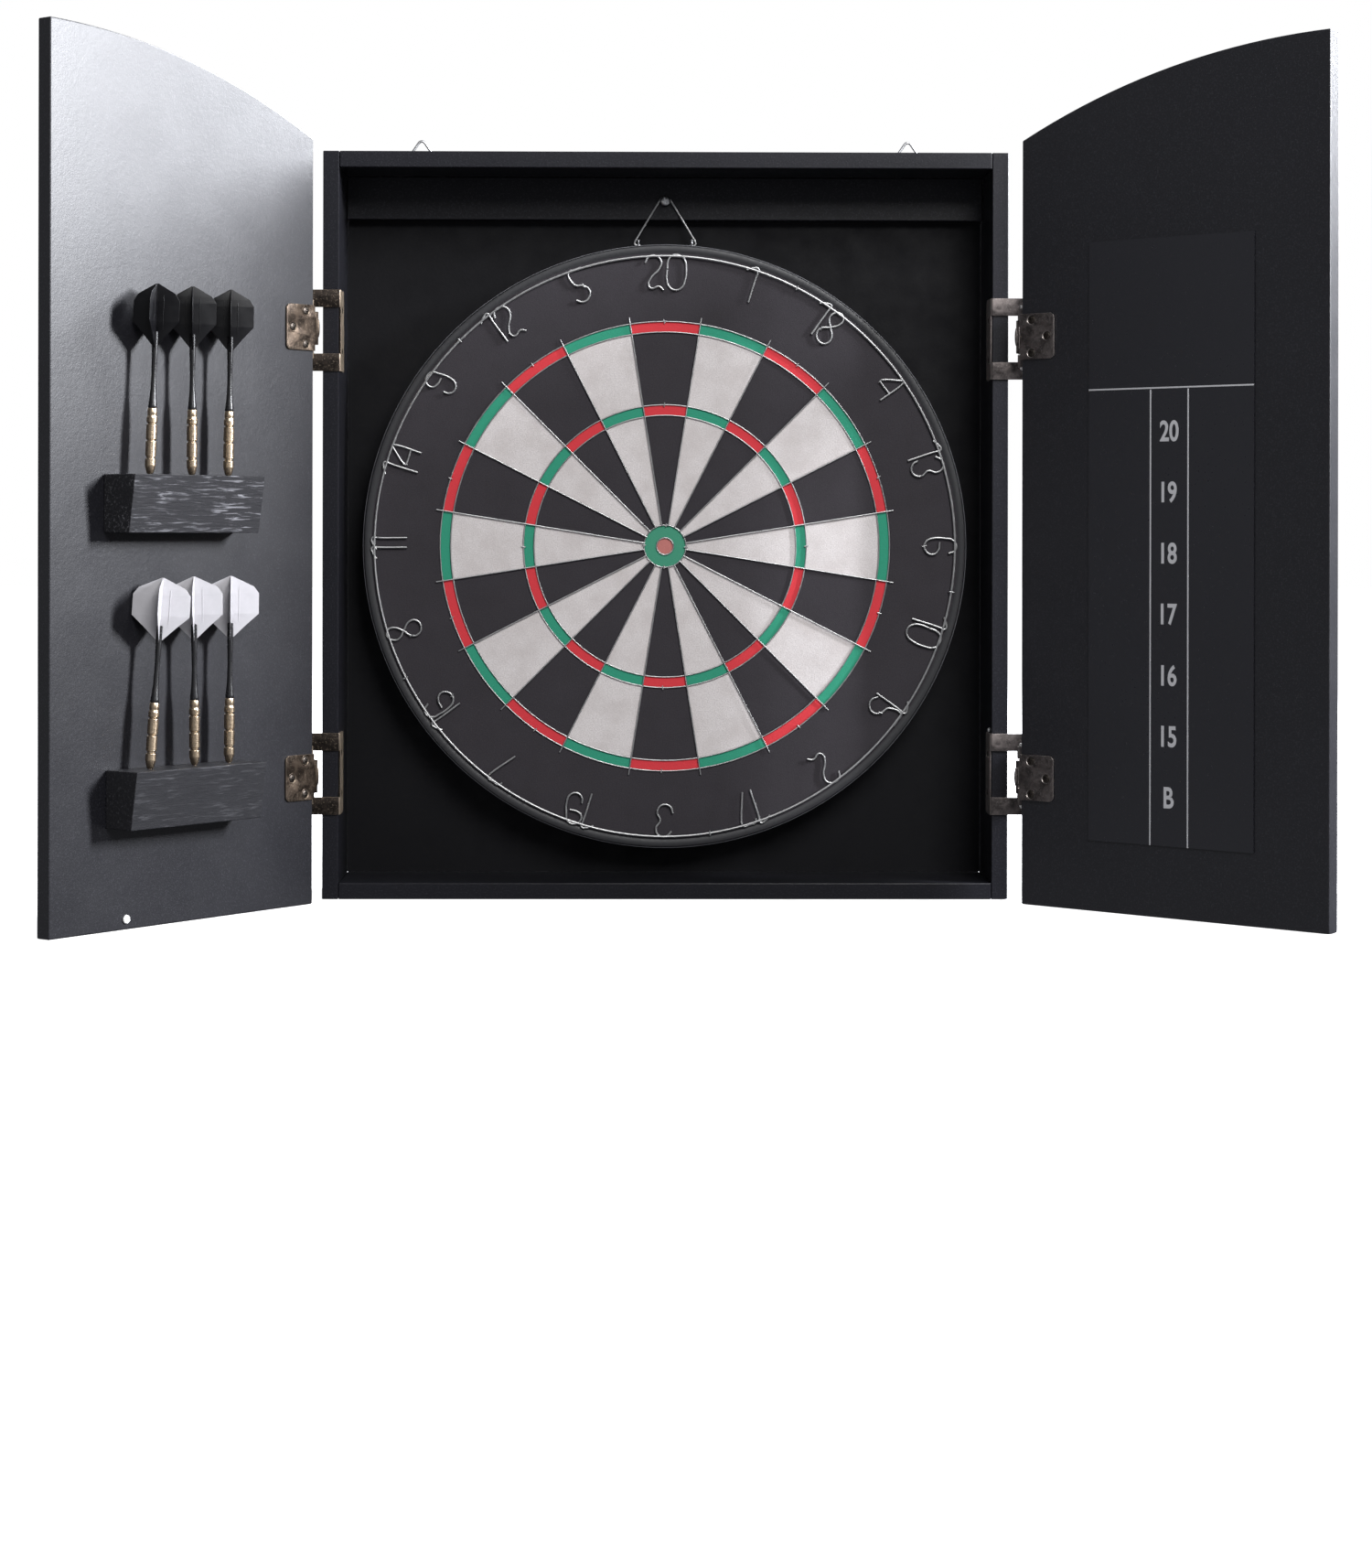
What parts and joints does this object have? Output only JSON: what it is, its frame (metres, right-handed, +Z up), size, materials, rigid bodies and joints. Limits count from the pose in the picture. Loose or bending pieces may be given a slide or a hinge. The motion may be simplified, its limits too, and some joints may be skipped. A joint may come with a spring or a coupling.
{
  "type": "dart board cabinet",
  "caption": "Shallow wall cabinet with an arched pair of hinged doors, a dart board hung inside, dart holders and a score panel on the doors.",
  "frame": {"origin": "centre of the back panel's rear face, on the wall plane, at mid-height of the box", "axes": "+Z up, -Y out of the wall towards the player, +X to the player's right"},
  "size_m": [0.8821, 0.307, 0.618],
  "materials": {
    "black_paint": "satin black paint on board, finely speckled",
    "hardboard": "flat black paint on hardboard",
    "black_wood": "black stained wood with open grain",
    "antique_brass": "mottled antique brass with rubbed edges",
    "pin_steel": "bright domed ends",
    "board_fibre": "matt fibre, printed sectors in black, white, red and green",
    "chipboard": "raw chipboard",
    "band_steel": "thin satin steel band",
    "wire_steel": "light round wire",
    "zinc_steel": "zinc plated",
    "barrel_brass": "satin brass with knurled grip",
    "black_plastic": "moulded, semi-gloss",
    "black_flight": "thin glossy film",
    "white_flight": "thin glossy film",
    "score_sheet": "semi-gloss black sheet with pale rules and numerals",
    "white_rubber": "soft, matt"
  },
  "bodies": {
    "cabinet": {"side_panel_left": "black_paint", "side_panel_right": "black_paint", "top_panel": "black_paint", "bottom_panel": "black_paint", "back_panel": "hardboard", "hanging_rail": "black_paint", "hanging_screw": "zinc_steel", "wall_peg": "white_rubber", "hanger_strap_left": "zinc_steel", "hanger_strap_right": "zinc_steel", "hinge_frame_leaf_upper_left": "antique_brass", "hinge_frame_leaf_upper_right": "antique_brass", "hinge_frame_leaf_lower_left": "antique_brass", "hinge_frame_leaf_lower_right": "antique_brass", "hinge_pin_upper_left": "pin_steel", "hinge_pin_upper_right": "pin_steel", "hinge_pin_lower_left": "pin_steel", "hinge_pin_lower_right": "pin_steel"},
    "left_door": {"left_door": "black_paint", "hinge_door_leaf_upper_left": "antique_brass", "hinge_door_leaf_lower_left": "antique_brass", "dart_holder_upper": "black_wood", "dart_holder_lower": "black_wood", "door_bumper": "white_rubber"},
    "right_door": {"right_door": "black_paint", "hinge_door_leaf_upper_right": "antique_brass", "hinge_door_leaf_lower_right": "antique_brass", "score_panel": "score_sheet"},
    "dartboard": {"dartboard_face": "board_fibre", "dartboard_backing": "chipboard", "dartboard_band": "band_steel", "dartboard_spider": "wire_steel", "bullseye_ring": "wire_steel", "number_ring": "wire_steel", "bail_wire": "wire_steel", "bail_nail_left": "zinc_steel", "bail_nail_right": "zinc_steel"},
    "hanger_ring_left": {"hanger_ring_left": "zinc_steel"},
    "hanger_ring_right": {"hanger_ring_right": "zinc_steel"},
    "dart_upper_1": {"dart_upper_1_barrel": "barrel_brass", "dart_upper_1_shaft": "black_plastic", "dart_upper_1_flight": "black_flight"},
    "dart_upper_2": {"dart_upper_2_barrel": "barrel_brass", "dart_upper_2_shaft": "black_plastic", "dart_upper_2_flight": "black_flight"},
    "dart_upper_3": {"dart_upper_3_barrel": "barrel_brass", "dart_upper_3_shaft": "black_plastic", "dart_upper_3_flight": "black_flight"},
    "dart_lower_1": {"dart_lower_1_barrel": "barrel_brass", "dart_lower_1_shaft": "black_plastic", "dart_lower_1_flight": "white_flight"},
    "dart_lower_2": {"dart_lower_2_barrel": "barrel_brass", "dart_lower_2_shaft": "black_plastic", "dart_lower_2_flight": "white_flight"},
    "dart_lower_3": {"dart_lower_3_barrel": "barrel_brass", "dart_lower_3_shaft": "black_plastic", "dart_lower_3_flight": "white_flight"}
  },
  "joints": [
    {"name": "left_door_hinge", "type": "hinge", "parent": "cabinet", "child": "left_door", "pos_m": [-0.2636, -0.0932, 0], "axis": [0, 0, 1], "range_deg": [-52.3, 127.7]},
    {"name": "right_door_hinge", "type": "hinge", "parent": "cabinet", "child": "right_door", "pos_m": [0.2636, -0.0932, 0], "axis": [0, 0, 1], "range_deg": [-137.7, 42.3]},
    {"name": "dartboard_lift", "type": "slide", "parent": "cabinet", "child": "dartboard", "axis": [0, 0, 1], "range_m": [0, 0.012]},
    {"name": "dart_upper_1_slide", "type": "slide", "parent": "left_door", "child": "dart_upper_1", "axis": [0.0117, 0.0152, 0.9998], "range_m": [0, 0.06]},
    {"name": "dart_upper_2_slide", "type": "slide", "parent": "left_door", "child": "dart_upper_2", "axis": [0.0032, 0.0041, 1], "range_m": [0, 0.06]},
    {"name": "dart_upper_3_slide", "type": "slide", "parent": "left_door", "child": "dart_upper_3", "axis": [0.032, 0.0414, 0.9986], "range_m": [0, 0.06]},
    {"name": "dart_lower_1_slide", "type": "slide", "parent": "left_door", "child": "dart_lower_1", "axis": [0.0075, 0.0097, 0.9999], "range_m": [0, 0.029]},
    {"name": "dart_lower_2_slide", "type": "slide", "parent": "left_door", "child": "dart_lower_2", "axis": [-0.0043, -0.0055, 1], "range_m": [0, 0.029]},
    {"name": "dart_lower_3_slide", "type": "slide", "parent": "left_door", "child": "dart_lower_3", "axis": [0.0565, 0.0731, 0.9957], "range_m": [0, 0.029]},
    {"name": "hanger_ring_left_swivel", "type": "hinge", "parent": "cabinet", "child": "hanger_ring_left", "pos_m": [-0.1867, -0.003, 0.2755], "axis": [1, 0, 0], "range_deg": [-170, 0]},
    {"name": "hanger_ring_right_swivel", "type": "hinge", "parent": "cabinet", "child": "hanger_ring_right", "pos_m": [0.1867, -0.003, 0.2755], "axis": [1, 0, 0], "range_deg": [-170, 0]}
  ]
}
